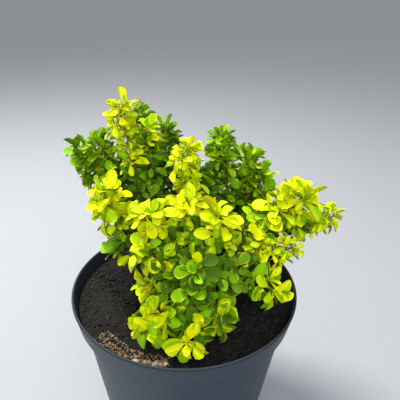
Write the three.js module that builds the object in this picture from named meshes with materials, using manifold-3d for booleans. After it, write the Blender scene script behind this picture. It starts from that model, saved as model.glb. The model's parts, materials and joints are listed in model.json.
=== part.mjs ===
// Potted golden japanese barberry: a small leafy shrub in a slate grey nursery pot.
// Millimetres, +Z up. The origin is the middle of the pot's flat underside, and +Y points to the back.
import * as THREE from "three";
import { mergeVertices } from "three/addons/utils/BufferGeometryUtils.js";
import Module from "manifold-3d";

const wasm = await Module();
wasm.setup();

// Pot
const POT_HEIGHT = 180;
const RIM_RADIUS = 112.5;
const BAND_DEPTH = 22;
const BAND_FOOT_RADIUS = 108.5;
const BODY_TOP_RADIUS = 103.5;
const BASE_RADIUS = 82;
const BASE_CHAMFER = 2;
const WALL = 1.8;
const LIP_WIDTH = 3;
const BASE_THICKNESS = 2.5;
const POT_SIDES = 48;
const DRAIN_COUNT = 8;
const DRAIN_RADIUS = 7;
const DRAIN_RING_RADIUS = 60;
const DRAIN_SIDES = 10;

// Compost
const SOIL_LEVEL = 167;
const SOIL_RELIEF = 1.5;
const SOIL_RINGS = 5;
const SOIL_FLAT_RADIUS = 95;
const PEBBLE_COUNT = 8;
const PEBBLE_RADIUS = 2.6;
const PEBBLE_ARC = [4.28, 4.62];
const PEBBLE_RING = [97, 103];

// Short woody stem that all the boughs spring from
const STEM_PLACE = new THREE.Vector2(6, 8);
const STEM_HEIGHT = 27;
const STEM_FLARE_RADIUS = 11;
const STEM_WAIST_RADIUS = 7.2;
const STEM_HEAD_RADIUS = 8.6;
const STEM_LEAN = 0.06;
const STEM_SIDES = 12;

// Limbs, twigs and leaves
const CLEARANCE = 0.3;
const BOUGH_SPARE = 1.4 * CLEARANCE;
const BOUGH_SIDES = 5;
const BOUGH_STEPS = 5;
const BOUGH_FOOT_RADIUS = 2.7;
const BRANCH_FOOT_RADIUS = 2;
const BOUGH_TIP_RADIUS = 1.4;
const SHOOT_RADIUS = 1.3;
const SHOOT_TIP_RADIUS = 0.8;
const NODE_SPACING = 7.5;
const NODE_LENGTH = 1.8;
const SPUR_RADIUS = 0.8;
const SPUR_LENGTH = 7;
const SPUR_RISE = 0.5;
const LEAF_WIDTH = 0.78;
const LEAF_THICKNESS = 0.08;
const LEAF_ENLARGED = 1.4;
const LEAF_RISE = [-0.8, 1];
const LEAF_SWAY = 0.5;
const LEAF_TRIES = 16;
const LEAF_SHORTENING = 0.03;
const SKYWARD = 0.6;
const TIPWARD = 0.4;
const CROWN_MIDDLE = new THREE.Vector3(10, 25, 215);
const TOUCH_VOLUME = 0.001;

// Foliage masses. Each keeps to its own tapered capsule from foot to tip, with a radius at either end.
// It has its own life-size leaf length, tint and seed. Its bough springs from the stem or from another bough,
// at that share of its length.
function mass(name, foot, tip, radii, leaf, tint, from, at, seed) {
  const ends = { foot: new THREE.Vector3(...foot), tip: new THREE.Vector3(...tip) };
  return { name, ...ends, radii, leaf, tint, from, at, seed };
}

const MASSES = [
  mass("left_top", [-44, 24, 268], [-63, 32, 350], [22, 17], 14, "gold", "stem", 0.66, 401),
  mass("left_inner", [-35, 32, 258], [-39, 36, 330], [18, 18], 15, "lime", "left_top", 0.6, 402),
  mass("left_low", [-57, -4, 229], [-71, -6, 284], [25, 22], 17, "gold", "left_top", 0.4, 403),
  mass("far_left", [-76, 48, 252], [-112, 58, 299], [17, 18], 16, "green", "stem", 0.45, 404),
  mass("left_shoulder", [-64, 36, 252], [-87, 43, 312], [17, 17], 16, "green", "far_left", 0.62, 405),
  mass("back_left", [-26, 62, 254], [-24, 76, 317], [19, 20], 14, "green", "stem", 0.9, 406),
  mass("back_tip", [-38, 56, 277], [-47, 60, 340], [15, 13], 12, "green", "back_left", 0.7, 407),
  mass("centre_top", [1, 6, 244], [0, 14, 320], [21, 19], 14, "gold", "stem", 0.97, 408),
  mass("heart", [14, 26, 228], [12, 30, 286], [21, 21], 16, "green", "centre_top", 0.3, 409),
  mass("front_mid", [3, -12, 234], [-1, -20, 279], [20, 20], 17, "gold", "centre_top", 0.5, 410),
  mass("front_left", [-8, -22, 231], [-29, -34, 278], [23, 21], 17, "gold", "stem", 0.7, 411),
  mass("front_side", [-13, -36, 225], [-33, -46, 247], [20, 20], 17, "gold", "front_left", 0.8, 412),
  mass("low_side", [-13, -43, 219], [-30, -54, 217], [18, 17], 17, "gold", "front_left", 0.58, 413),
  mass("low_left", [-6, -48, 219], [-26, -74, 184], [22, 22], 19, "gold", "front_left", 0.36, 414),
  mass("front_right", [23, -22, 232], [29, -32, 275], [22, 21], 17, "gold", "stem", 0.7, 415),
  mass("front_core", [13, -34, 220], [11, -54, 238], [21, 21], 18, "lime", "front_right", 0.5, 416),
  mass("low_mid", [10, -54, 211], [4, -80, 179], [22, 22], 19, "gold", "front_right", 0.36, 417),
  mass("low_right", [27, -48, 218], [31, -68, 190], [21, 20], 18, "lime", "front_right", 0.62, 418),
  mass("right_arm", [48, -4, 241], [108, -5, 281], [22, 22], 18, "gold", "stem", 0.55, 419),
  mass("right_tip", [107, 2, 250], [138, 4, 258], [16, 15], 14, "gold", "right_arm", 0.75, 720),
  mass("right_low", [52, -22, 233], [99, -22, 239], [21, 19], 13, "lime", "right_arm", 0.6, 421),
  mass("right_foot", [48, -37, 221], [79, -45, 210], [21, 20], 17, "lime", "right_arm", 0.35, 731),
  mass("right_back", [44, 46, 242], [32, 58, 314], [20, 16], 16, "green", "stem", 0.75, 423),
  mass("right_back_mid", [60, 52, 232], [62, 66, 293], [19, 18], 17, "green", "right_back", 0.6, 424),
  mass("right_back_low", [71, 38, 229], [76, 56, 276], [20, 18], 17, "green", "right_back", 0.4, 425),
  mass("back_right", [38, 46, 206], [68, 86, 236], [22, 22], 17, "green", "stem", 0.45, 426),
  mass("back_mid", [6, 44, 214], [4, 84, 262], [24, 24], 18, "green", "stem", 0.5, 427),
  mass("back_far_left", [-32, 46, 212], [-62, 82, 238], [22, 22], 17, "green", "stem", 0.22, 428),
];

const LEAF_COLOURS = { gold: 0xe6e21a, lime: 0xb4c81e, green: 0x6f8a22 };
const BARK = new THREE.MeshStandardMaterial({ color: 0x7a6248, roughness: 0.9, metalness: 0 });
const POT_PLASTIC = new THREE.MeshStandardMaterial({ color: 0x4a5a69, roughness: 0.55, metalness: 0 });
const COMPOST = new THREE.MeshStandardMaterial({ color: 0x3a332b, roughness: 1, metalness: 0 });

// The same seed always gives the same run of numbers from 0 to 1.
function seededNumbers(seed) {
  let state = seed;
  return function next() {
    state = (state + 0x6d2b79f5) | 0;
    let mixed = Math.imul(state ^ (state >>> 15), state | 1);
    mixed ^= mixed + Math.imul(mixed ^ (mixed >>> 7), mixed | 61);
    return ((mixed ^ (mixed >>> 14)) >>> 0) / 4294967296;
  };
}

function solidOf(geometry) {
  const bare = new THREE.BufferGeometry();
  bare.setAttribute("position", geometry.getAttribute("position").clone());
  if (geometry.index) bare.setIndex(geometry.index.clone());
  const merged = mergeVertices(bare, 1e-4);
  const vertProperties = new Float32Array(merged.getAttribute("position").array);
  const triVerts = new Uint32Array(merged.index.array);
  return new wasm.Manifold(new wasm.Mesh({ numProp: 3, vertProperties, triVerts }));
}

function geometryOf(solid) {
  const { vertProperties, triVerts } = solid.getMesh();
  const geometry = new THREE.BufferGeometry();
  geometry.setAttribute("position", new THREE.BufferAttribute(new Float32Array(vertProperties), 3));
  geometry.setIndex(new THREE.BufferAttribute(new Uint32Array(triVerts), 1));
  geometry.computeVertexNormals();
  return geometry;
}

// The largest closed body of a solid, which drops loose scraps and fills sealed hollows.
function mainBody(solid) {
  const bodies = solid.decompose();
  return bodies.reduce((best, body) => (body.volume() > best.volume() ? body : best));
}

// A profile of [radius, height] points turned round the Z axis.
function turned(profile, sides) {
  const points = profile.map(([radius, height]) => new THREE.Vector2(radius, height));
  return new THREE.LatheGeometry(points, sides).rotateX(Math.PI / 2);
}

// A closed limb that tapers along a curve.
function limbGeometry(curve, footRadius, tipRadius, sides, steps) {
  const frames = curve.computeFrenetFrames(steps, false);
  const corners = [];
  const faces = [];
  for (let ring = 0; ring <= steps; ring += 1) {
    const centre = curve.getPointAt(ring / steps);
    const radius = THREE.MathUtils.lerp(footRadius, tipRadius, ring / steps);
    for (let side = 0; side < sides; side += 1) {
      const angle = (2 * Math.PI * side) / sides;
      const corner = centre.clone();
      corner.addScaledVector(frames.normals[ring], radius * Math.cos(angle));
      corner.addScaledVector(frames.binormals[ring], radius * Math.sin(angle));
      corners.push(...corner);
    }
  }
  for (let ring = 0; ring < steps; ring += 1) {
    for (let side = 0; side < sides; side += 1) {
      const here = ring * sides + side;
      const beside = ring * sides + ((side + 1) % sides);
      faces.push(here, beside, beside + sides);
      faces.push(here, beside + sides, here + sides);
    }
  }
  const last = steps * sides;
  for (let side = 1; side < sides - 1; side += 1) {
    faces.push(0, side + 1, side);
    faces.push(last, last + side, last + side + 1);
  }
  const geometry = new THREE.BufferGeometry();
  geometry.setAttribute("position", new THREE.Float32BufferAttribute(corners, 3));
  geometry.setIndex(faces);
  return geometry;
}

// A closed mesh that grows out of its own triangular faces.
class Growth {
  constructor(triangle) {
    this.corners = triangle.map((point) => point.clone());
    this.faces = [[0, 1, 2], [0, 2, 1]];
  }

  triangle(face) {
    return this.faces[face].map((corner) => this.corners[corner]);
  }

  // Draws a face out to a ring of three points, and returns the six faces at its sides.
  // The face then closes the new tube's end.
  sprout(face, ring) {
    const root = this.faces[face];
    const first = this.corners.length;
    this.corners.push(...ring);
    const sides = [];
    for (let side = 0; side < 3; side += 1) {
      const next = (side + 1) % 3;
      sides.push(this.faces.push([root[side], root[next], first + next]) - 1);
      sides.push(this.faces.push([root[side], first + next, first + side]) - 1);
    }
    this.faces[face] = [first, first + 1, first + 2];
    return sides;
  }

  // Closes a face whose corners are right, left and keel with a wedge that ends in an edge.
  wedge(face, [right, left, keel], tipRight, tipLeft) {
    const first = this.corners.length;
    this.corners.push(tipRight, tipLeft);
    this.faces[face] = [right, left, first + 1];
    this.faces.push([right, first + 1, first], [left, keel, first + 1]);
    this.faces.push([keel, right, first], [keel, first, first + 1]);
  }

  geometry() {
    const geometry = new THREE.BufferGeometry();
    const positions = this.corners.flatMap((point) => [...point]);
    geometry.setAttribute("position", new THREE.Float32BufferAttribute(positions, 3));
    geometry.setIndex(this.faces.flat());
    return geometry;
  }
}

function middleOf(triangle) {
  return new THREE.Vector3().add(triangle[0]).add(triangle[1]).add(triangle[2]).divideScalar(3);
}

function facingOf([first, second, third]) {
  const side = second.clone().sub(first);
  return side.cross(third.clone().sub(first)).normalize();
}

// Points of a spoon-shaped leaf as shares of its length, half width and length: along, across, up.
const LEAF_RIGHT = [0.56, -1, 0.05];
const LEAF_LEFT = [0.56, 1, 0.05];
const LEAF_TIP_RIGHT = [0.97, -0.5, -0.03];
const LEAF_TIP_LEFT = [0.97, 0.5, -0.03];

// Where the leaf's points lie. With spare, they are those of a leaf that is larger all round.
function leafPoints(root, { direction, facing, length }, spare) {
  const across = new THREE.Vector3().crossVectors(direction, facing).normalize();
  const up = new THREE.Vector3().crossVectors(across, direction);
  const place = ([alongShare, acrossShare, upShare]) => {
    const point = root.clone().addScaledVector(direction, alongShare * (length + spare));
    point.addScaledVector(across, acrossShare * ((length * LEAF_WIDTH) / 2 + spare));
    return point.addScaledVector(up, upShare * length + spare);
  };
  const keel = root.clone().addScaledVector(direction, 0.5 * length);
  keel.addScaledVector(up, -LEAF_THICKNESS * length - spare);
  return [LEAF_RIGHT, LEAF_LEFT, LEAF_TIP_RIGHT, LEAF_TIP_LEFT].map(place).concat(keel);
}

// Grows a leaf out of a face, with its three edges led from the corners that lie nearest to them.
function growLeaf(growth, face, leaf, spare = 0) {
  const triangle = growth.triangle(face);
  const [right, left, tipRight, tipLeft, keel] = leafPoints(middleOf(triangle), leaf, spare);
  const turns = [[right, left, keel], [keel, right, left], [left, keel, right]];
  const strain = (ring) => ring.reduce((sum, point, at) => sum + point.distanceToSquared(triangle[at]), 0);
  const best = turns.reduce((least, ring) => (strain(ring) < strain(least) ? ring : least));
  growth.sprout(face, best);
  const at = (point) => growth.faces[face][best.indexOf(point)];
  growth.wedge(face, [at(right), at(left), at(keel)], tipRight, tipLeft);
}

// Pot: a thin wall with a raised rim band, a rolled lip and drainage holes round a solid middle.
function potSolid() {
  const bandFoot = POT_HEIGHT - BAND_DEPTH;
  const profile = [
    [0, 0],
    [BASE_RADIUS - BASE_CHAMFER, 0],
    [BASE_RADIUS, BASE_CHAMFER],
    [BODY_TOP_RADIUS, bandFoot - 1],
    [BAND_FOOT_RADIUS, bandFoot],
    [RIM_RADIUS, POT_HEIGHT - 1],
    [RIM_RADIUS - 1, POT_HEIGHT],
    [RIM_RADIUS - LIP_WIDTH, POT_HEIGHT],
    [RIM_RADIUS - LIP_WIDTH - 0.3, POT_HEIGHT - LIP_WIDTH],
    [BAND_FOOT_RADIUS - WALL, bandFoot + WALL],
    [BODY_TOP_RADIUS - WALL, bandFoot + WALL - 1],
    [BASE_RADIUS - WALL, BASE_THICKNESS],
    [0, BASE_THICKNESS],
  ];
  const drains = [];
  for (let hole = 0; hole < DRAIN_COUNT; hole += 1) {
    const angle = (2 * Math.PI * (hole + 0.5)) / DRAIN_COUNT;
    const drain = new THREE.CylinderGeometry(DRAIN_RADIUS, DRAIN_RADIUS, 4 * BASE_THICKNESS, DRAIN_SIDES);
    drain.rotateX(Math.PI / 2);
    drain.translate(DRAIN_RING_RADIUS * Math.cos(angle), DRAIN_RING_RADIUS * Math.sin(angle), 0);
    drains.push(solidOf(drain));
  }
  return solidOf(turned(profile, POT_SIDES)).subtract(wasm.Manifold.union(drains));
}

// Height of the uneven compost over its mean level, flat at the foot of the stem and along the pot's wall.
function soilRelief(x, y) {
  const fromStem = Math.hypot(x - STEM_PLACE.x, y - STEM_PLACE.y);
  const nearStem = THREE.MathUtils.smoothstep(fromStem, 1.3 * STEM_FLARE_RADIUS, 3 * STEM_FLARE_RADIUS);
  const nearWall = THREE.MathUtils.smoothstep(Math.hypot(x, y), SOIL_FLAT_RADIUS, BAND_FOOT_RADIUS - WALL);
  const fade = nearStem * (1 - nearWall);
  const waves = Math.sin(x / 17 + 1.3) * Math.cos(y / 13) + 0.5 * Math.sin((x + y) / 9);
  return SOIL_RELIEF * fade * waves;
}

function compostSolid() {
  const bandFoot = POT_HEIGHT - BAND_DEPTH;
  const inset = WALL + 1.3 * CLEARANCE;
  const edge = BAND_FOOT_RADIUS - inset + CLEARANCE;
  const profile = [
    [0, BASE_THICKNESS + CLEARANCE],
    [BASE_RADIUS - inset, BASE_THICKNESS + CLEARANCE],
    [BODY_TOP_RADIUS - inset, bandFoot + WALL - 1 + CLEARANCE],
    [BAND_FOOT_RADIUS - inset, bandFoot + WALL + CLEARANCE],
  ];
  for (let ring = 0; ring <= SOIL_RINGS; ring += 1) {
    profile.push([edge * (1 - ring / SOIL_RINGS), SOIL_LEVEL]);
  }
  const geometry = turned(profile, POT_SIDES);
  const points = geometry.getAttribute("position");
  for (let index = 0; index < points.count; index += 1) {
    if (points.getZ(index) > SOIL_LEVEL - 0.01) {
      points.setZ(index, SOIL_LEVEL + soilRelief(points.getX(index), points.getY(index)));
    }
  }
  const pebbles = [];
  const random = seededNumbers(5);
  for (let pebble = 0; pebble < PEBBLE_COUNT; pebble += 1) {
    const angle = THREE.MathUtils.lerp(...PEBBLE_ARC, (pebble + random()) / PEBBLE_COUNT);
    const ring = THREE.MathUtils.lerp(...PEBBLE_RING, random());
    const stone = new THREE.IcosahedronGeometry(PEBBLE_RADIUS * (0.7 + 0.5 * random()), 0);
    stone.scale(1, 0.8, 0.7);
    stone.rotateZ(2 * Math.PI * random());
    const x = ring * Math.cos(angle);
    const y = ring * Math.sin(angle);
    stone.translate(x, y, SOIL_LEVEL + soilRelief(x, y) + 0.4);
    pebbles.push(solidOf(stone));
  }
  return mainBody(wasm.Manifold.union([solidOf(geometry), ...pebbles]));
}

// Middle of the stem at a height over its foot.
function stemMiddle(height) {
  return new THREE.Vector3(
    STEM_PLACE.x + STEM_LEAN * height,
    STEM_PLACE.y - STEM_LEAN * height,
    SOIL_LEVEL + CLEARANCE + height,
  );
}

function stemSolid() {
  const profile = [
    [0, 0],
    [STEM_FLARE_RADIUS, 0],
    [STEM_WAIST_RADIUS + 1.2, 0.18 * STEM_HEIGHT],
    [STEM_WAIST_RADIUS, 0.4 * STEM_HEIGHT],
    [STEM_HEAD_RADIUS, 0.7 * STEM_HEIGHT],
    [0.75 * STEM_HEAD_RADIUS, 0.92 * STEM_HEIGHT],
    [0, STEM_HEIGHT],
  ];
  const geometry = turned(profile, STEM_SIDES);
  const points = geometry.getAttribute("position");
  const point = new THREE.Vector3();
  for (let index = 0; index < points.count; index += 1) {
    point.fromBufferAttribute(points, index);
    const lobes = 1 + 0.14 * (1 - point.z / STEM_HEIGHT) * Math.cos(3 * Math.atan2(point.y, point.x));
    const middle = stemMiddle(point.z);
    points.setXYZ(index, middle.x + lobes * point.x, middle.y + lobes * point.y, middle.z);
  }
  return solidOf(geometry);
}

// Route of a mass's bough: out of the stem's head or its parent bough, and along the mass's axis at its foot.
function boughRoute(mass, routes) {
  const foot = mass.foot.clone();
  const axis = mass.tip.clone().sub(foot).normalize();
  const springs = mass.from === "stem";
  const start = springs ? stemMiddle(mass.at * STEM_HEIGHT) : routes[mass.from].getPointAt(mass.at);
  if (springs) {
    const toward = foot.clone().sub(start).setZ(0).normalize();
    start.addScaledVector(toward, 0.7 * STEM_HEAD_RADIUS);
  }
  const span = foot.distanceTo(start);
  const outward = foot.clone().sub(start).normalize();
  if (!springs) outward.add(routes[mass.from].getTangentAt(mass.at).multiplyScalar(0.5)).normalize();
  const leaving = start.clone().addScaledVector(outward, span / 3);
  const arriving = foot.clone().addScaledVector(axis, -span / 3);
  return new THREE.CubicBezierCurve3(start, leaving, arriving, foot);
}

function boughTube(route, footRadius, spare) {
  const tube = limbGeometry(route, footRadius + spare, BOUGH_TIP_RADIUS + spare, BOUGH_SIDES, BOUGH_STEPS);
  return solidOf(tube);
}

// A bough is cut clear of the limb that it springs from.
function boughSolid(mass, routes, stem) {
  const springs = mass.from === "stem";
  const footRadius = springs ? BOUGH_FOOT_RADIUS : BRANCH_FOOT_RADIUS;
  const whole = boughTube(routes[mass.name], footRadius, 0);
  const parent = springs ? stem.swollen : boughTube(routes[mass.from], BOUGH_FOOT_RADIUS, BOUGH_SPARE);
  return mainBody(whole.subtract(parent));
}

// How far a point lies outside a mass's capsule, less than nought inside it.
function outsideBy(mass, point) {
  const foot = mass.foot.clone();
  const axis = mass.tip.clone().sub(foot);
  const share = THREE.MathUtils.clamp(point.clone().sub(foot).dot(axis) / axis.lengthSq(), 0, 1);
  const nearest = foot.addScaledVector(axis, share);
  return nearest.distanceTo(point) - THREE.MathUtils.lerp(...mass.radii, share);
}

// True where a point is in its own mass's capsule and nearer to it than to any other.
function inOwnSpace(mass, point) {
  const own = outsideBy(mass, point);
  if (own > 0) return false;
  return MASSES.every((other) => other === mass || outsideBy(other, point) > own + 2 * CLEARANCE);
}

// Three points round a middle, across an axis, turned round it.
function triangleAround(middle, axis, radius, turn) {
  const side = new THREE.Vector3(0, 0, 1).cross(axis);
  if (side.lengthSq() < 0.01) side.set(1, 0, 0);
  side.normalize();
  const level = new THREE.Vector3().crossVectors(axis, side);
  return [0, 1, 2].map((corner) => {
    const angle = turn + (2 * Math.PI * corner) / 3;
    const point = middle.clone().addScaledVector(side, radius * Math.cos(angle));
    return point.addScaledVector(level, radius * Math.sin(angle));
  });
}

function touchesAny(solid, others) {
  const box = solid.boundingBox();
  return others.some((other) => {
    const apart = (low, high, side) => low.max[side] < high.min[side] || high.max[side] < low.min[side];
    const clear = [0, 1, 2].some((side) => apart(box, other.box, side));
    return !clear && solid.intersect(other.solid).volume() > TOUCH_VOLUME;
  });
}

// A leaf on a face of the mass: the first one tried that keeps to its space and touches nothing, or none.
function tryLeaf(mass, growth, face, axis, random, others, siblings) {
  const triangle = growth.triangle(face);
  const root = middleOf(triangle);
  const outward = facingOf(triangle);
  const facing = root.clone().sub(CROWN_MIDDLE).normalize().addScaledVector(axis, TIPWARD);
  facing.z += SKYWARD;
  for (let attempt = 0; attempt < LEAF_TRIES; attempt += 1) {
    const rise = THREE.MathUtils.lerp(...LEAF_RISE, random());
    const sway = LEAF_SWAY * (2 * random() - 1);
    const direction = outward.clone().addScaledVector(axis, Math.tan(rise));
    direction.addScaledVector(new THREE.Vector3().crossVectors(axis, outward), sway).normalize();
    const leaf = { direction, facing, length: mass.leaf * LEAF_ENLARGED * (1 - LEAF_SHORTENING * attempt) };
    if (!leafPoints(root, leaf, 0).every((point) => inOwnSpace(mass, point))) continue;
    const alone = new Growth(triangle);
    growLeaf(alone, 0, leaf);
    const solid = solidOf(alone.geometry());
    if (touchesAny(solid, siblings)) continue;
    const spacious = new Growth(triangle);
    growLeaf(spacious, 0, leaf, CLEARANCE);
    if (touchesAny(solidOf(spacious.geometry()), others)) continue;
    growLeaf(growth, face, leaf);
    siblings.push(withBox(solid));
    return;
  }
}

// A short spur out of a face, with leaves round its end and one at its tip.
function trySpur(mass, growth, face, axis, random, others, siblings) {
  const triangle = growth.triangle(face);
  const direction = facingOf(triangle).addScaledVector(axis, SPUR_RISE).normalize();
  const node = middleOf(triangle).addScaledVector(direction, SPUR_LENGTH);
  const end = node.clone().addScaledVector(direction, NODE_LENGTH);
  const ringAt = (middle) => triangle.map((corner) => {
    const offset = corner.clone().sub(middleOf(triangle));
    offset.addScaledVector(direction, -offset.dot(direction));
    return middle.clone().addScaledVector(offset.normalize(), SPUR_RADIUS);
  });
  const alone = new Growth(triangle);
  alone.sprout(0, ringAt(node));
  alone.sprout(0, ringAt(end));
  const solid = solidOf(alone.geometry());
  if (!inOwnSpace(mass, end) || touchesAny(solid, siblings) || touchesAny(solid, others)) return;
  growth.sprout(face, ringAt(node));
  const sides = growth.sprout(face, ringAt(end));
  siblings.push(withBox(solid));
  for (const side of [...sides.filter((_, index) => index % 2 === 0), face]) {
    tryLeaf(mass, growth, side, direction, random, others, siblings);
  }
}

// The growth rule: a three-sided shoot from foot to tip with a node at each step, its triangle turned back
// by a sixth of a round from ring to ring. Each node bears leaves on alternate faces, every second node bears
// a leafy spur too, and the last one is leafy all round.
function massSolid(mass, others) {
  const random = seededNumbers(mass.seed);
  const foot = mass.foot.clone();
  const tip = mass.tip.clone();
  const axis = tip.clone().sub(foot).normalize();
  foot.addScaledVector(axis, CLEARANCE);
  const length = foot.distanceTo(tip);
  const count = Math.round(length / NODE_SPACING);
  const radiusAt = (along) => THREE.MathUtils.lerp(SHOOT_RADIUS, SHOOT_TIP_RADIUS, along / length);
  const placeAt = (along) => foot.clone().addScaledVector(axis, along);
  const ringAt = (along, turn) => triangleAround(placeAt(along), axis, radiusAt(along), turn);
  let turn = 2 * Math.PI * random();
  const growth = new Growth(ringAt(0, turn));
  const nodes = [];
  for (let node = 1; node <= count; node += 1) {
    const along = (node * length) / count;
    growth.sprout(0, ringAt(along - NODE_LENGTH, (turn -= Math.PI / 3)));
    nodes.push(growth.sprout(0, ringAt(along, (turn -= Math.PI / 3))));
  }
  const siblings = [withBox(solidOf(growth.geometry()))];
  nodes.forEach((sides, node) => {
    sides.forEach((face, index) => {
      const spurHere = node % 2 === 0 && index === 1 + 2 * (node % 3);
      const leafHere = index % 2 === 0 || node === count - 1;
      if (spurHere) trySpur(mass, growth, face, axis, random, others, siblings);
      else if (leafHere) tryLeaf(mass, growth, face, axis, random, others, siblings);
    });
  });
  tryLeaf(mass, growth, 0, axis, random, others, siblings);
  return mainBody(solidOf(growth.geometry()));
}

function withBox(solid) {
  return { solid, box: solid.boundingBox() };
}

const shrub = new THREE.Group();

function addNode(name, solid, material) {
  const mesh = new THREE.Mesh(geometryOf(solid), material);
  mesh.name = name;
  shrub.add(mesh);
}

const pot = potSolid();
const compost = compostSolid();
const stem = stemSolid();
addNode("pot", pot, POT_PLASTIC);
addNode("compost", compost, COMPOST);
addNode("main_stem", stem, BARK);

const others = [withBox(pot), withBox(compost), withBox(stem)];
const middle = stemMiddle(0.5 * STEM_HEIGHT).toArray();
const growth = 1 + (2 * CLEARANCE) / STEM_HEAD_RADIUS;
const swollen = stem.translate(middle.map((value) => -value)).scale(growth).translate(middle);
const routes = {};
for (const mass of MASSES) {
  routes[mass.name] = boughRoute(mass, routes);
  const bough = boughSolid(mass, routes, { swollen });
  others.push(withBox(bough));
  addNode(`bough_${mass.name}`, bough, BARK);
}

for (const mass of MASSES) {
  const solid = massSolid(mass, others);
  others.push(withBox(solid));
  const color = LEAF_COLOURS[mass.tint];
  const leaf = new THREE.MeshStandardMaterial({ color, roughness: 0.6, metalness: 0 });
  addNode(`foliage_${mass.name}`, solid, leaf);
}

export default shrub;
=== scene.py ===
"""Potted golden japanese barberry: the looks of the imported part, laid out as a Blender add-on.

Metres, +Z up. The origin is the middle of the pot's flat underside, and +Y points to the back.
"""

import json
import math

import bmesh
import bpy
import numpy as np
from mathutils import Matrix, Vector, noise

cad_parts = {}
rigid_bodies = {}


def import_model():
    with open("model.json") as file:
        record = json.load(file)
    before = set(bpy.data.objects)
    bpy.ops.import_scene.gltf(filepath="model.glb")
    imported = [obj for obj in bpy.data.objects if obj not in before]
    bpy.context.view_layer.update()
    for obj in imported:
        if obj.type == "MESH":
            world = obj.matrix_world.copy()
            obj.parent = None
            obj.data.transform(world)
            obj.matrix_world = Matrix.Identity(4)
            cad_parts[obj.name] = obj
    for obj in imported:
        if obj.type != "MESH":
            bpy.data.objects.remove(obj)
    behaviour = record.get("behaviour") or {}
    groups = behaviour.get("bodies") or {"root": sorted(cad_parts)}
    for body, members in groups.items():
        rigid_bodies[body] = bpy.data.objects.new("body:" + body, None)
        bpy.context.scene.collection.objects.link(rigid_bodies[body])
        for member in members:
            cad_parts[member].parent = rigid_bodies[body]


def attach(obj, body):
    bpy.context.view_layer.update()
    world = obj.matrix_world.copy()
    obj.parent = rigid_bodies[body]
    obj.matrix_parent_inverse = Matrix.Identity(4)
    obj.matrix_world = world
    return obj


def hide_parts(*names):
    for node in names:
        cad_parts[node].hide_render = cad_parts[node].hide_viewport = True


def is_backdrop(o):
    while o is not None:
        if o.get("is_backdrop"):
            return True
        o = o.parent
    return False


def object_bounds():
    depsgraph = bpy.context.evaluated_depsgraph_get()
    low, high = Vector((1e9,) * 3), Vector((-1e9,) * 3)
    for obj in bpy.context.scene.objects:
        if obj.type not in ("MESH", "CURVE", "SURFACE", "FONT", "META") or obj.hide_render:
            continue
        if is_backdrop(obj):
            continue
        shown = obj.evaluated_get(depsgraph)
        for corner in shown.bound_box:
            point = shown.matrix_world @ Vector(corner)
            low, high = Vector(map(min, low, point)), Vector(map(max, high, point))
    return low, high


bl_info = {
    "name": "Potted golden barberry",
    "version": (1, 0, 0),
    "blender": (4, 5, 0),
    "location": "View3D > Sidebar > Barberry",
    "description": "Makes the pot, compost, limbs, twigs and leaves of a small golden barberry",
    "category": "Add Mesh",
}

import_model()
CAD_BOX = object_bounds()

MM = 0.001
GOLDEN_ANGLE = math.radians(137.508)

# Sizes and rules that the pieces share with the solids
BAND_DEPTH = 22 * MM
BAND_FOOT_RADIUS = 108.5 * MM
BODY_TOP_RADIUS = 103.5 * MM
BASE_RADIUS = 82 * MM
WALL = 1.8 * MM
LIP_WIDTH = 3 * MM
BASE_THICKNESS = 2.5 * MM
DRAIN_COUNT = 8
DRAIN_RADIUS = 7 * MM
DRAIN_RING_RADIUS = 60 * MM
CLEARANCE = 0.3 * MM
SOIL_FLAT_RADIUS = 95 * MM
PEBBLE_COUNT = 8
PEBBLE_RADIUS = 2.6 * MM
PEBBLE_ARC = (4.28, 4.62)
PEBBLE_RING = (97 * MM, 103 * MM)
PEBBLE_SEED = 5
STEM_PLACE = Vector((6 * MM, 8 * MM, 0))
STEM_HEIGHT = 27 * MM
STEM_FLARE_RADIUS = 11 * MM
STEM_WAIST_RADIUS = 7.2 * MM
STEM_HEAD_RADIUS = 8.6 * MM
STEM_LEAN = 0.06
BOUGH_FOOT_RADIUS = 2.7 * MM
BRANCH_FOOT_RADIUS = 2 * MM
BOUGH_START = 0.7 * STEM_HEAD_RADIUS
FORK_FOLLOWS = 0.5
BOUGH_TIP_RADIUS = 1.4 * MM
SHOOT_RADIUS = 1.3 * MM
SHOOT_TIP_RADIUS = 0.8 * MM
NODE_SPACING = 7.5 * MM
SPUR_RISE = 0.5
LEAF_RISE = (-0.8, 1.0)
SKYWARD = 0.6
TIPWARD = 0.4
CROWN_MIDDLE = Vector((10, 25, 215)) * MM

# Looks of the pot: heights between which splashes thicken, foot of the lip, and the wall inside the band. Lip
# and inner wall are darkened with painted shade
SPLASH_HEIGHTS = (140 * MM, 180 * MM)
LIP_FOOT = 178.2 * MM
INNER_FOOT = 159.8 * MM
INNER_FOOT_RADIUS = BAND_FOOT_RADIUS - WALL
INNER_FLARE = 0.163
INNER_MARGIN = 0.6 * MM

# Relief of the crumbs: its widths in millimetres with their weights, its height, and where it fades
CRUMB_LAYERS = ((11, 1), (4.2, 1.1), (1.9, 0.7))
CRUMB_HEIGHT = 1.5 * MM
CRUMB_FADE = (104.5 * MM, 106.4 * MM)

# Rings and arc of the compost on which loose stones and lumps lie
CRUMB_RING = (3 * MM, 105 * MM)
GRANULE_RING = (89 * MM, 105.5 * MM)
GRANULE_ARC = (3.86, 4.62)

# Least and greatest stretch of a scattered stone along its three sides
STONE_STRETCH = ((0.5, 0.45, 0.35), (1.35, 1.15, 0.95))

# Pebbles: how far their middles stand over the compost, their proportions, and the height of their lumps
PEBBLE_LIFT = 0.6 * MM
PEBBLE_SHAPE = (1, 0.82, 0.7)
PEBBLE_RELIEF = 0.16

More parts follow.
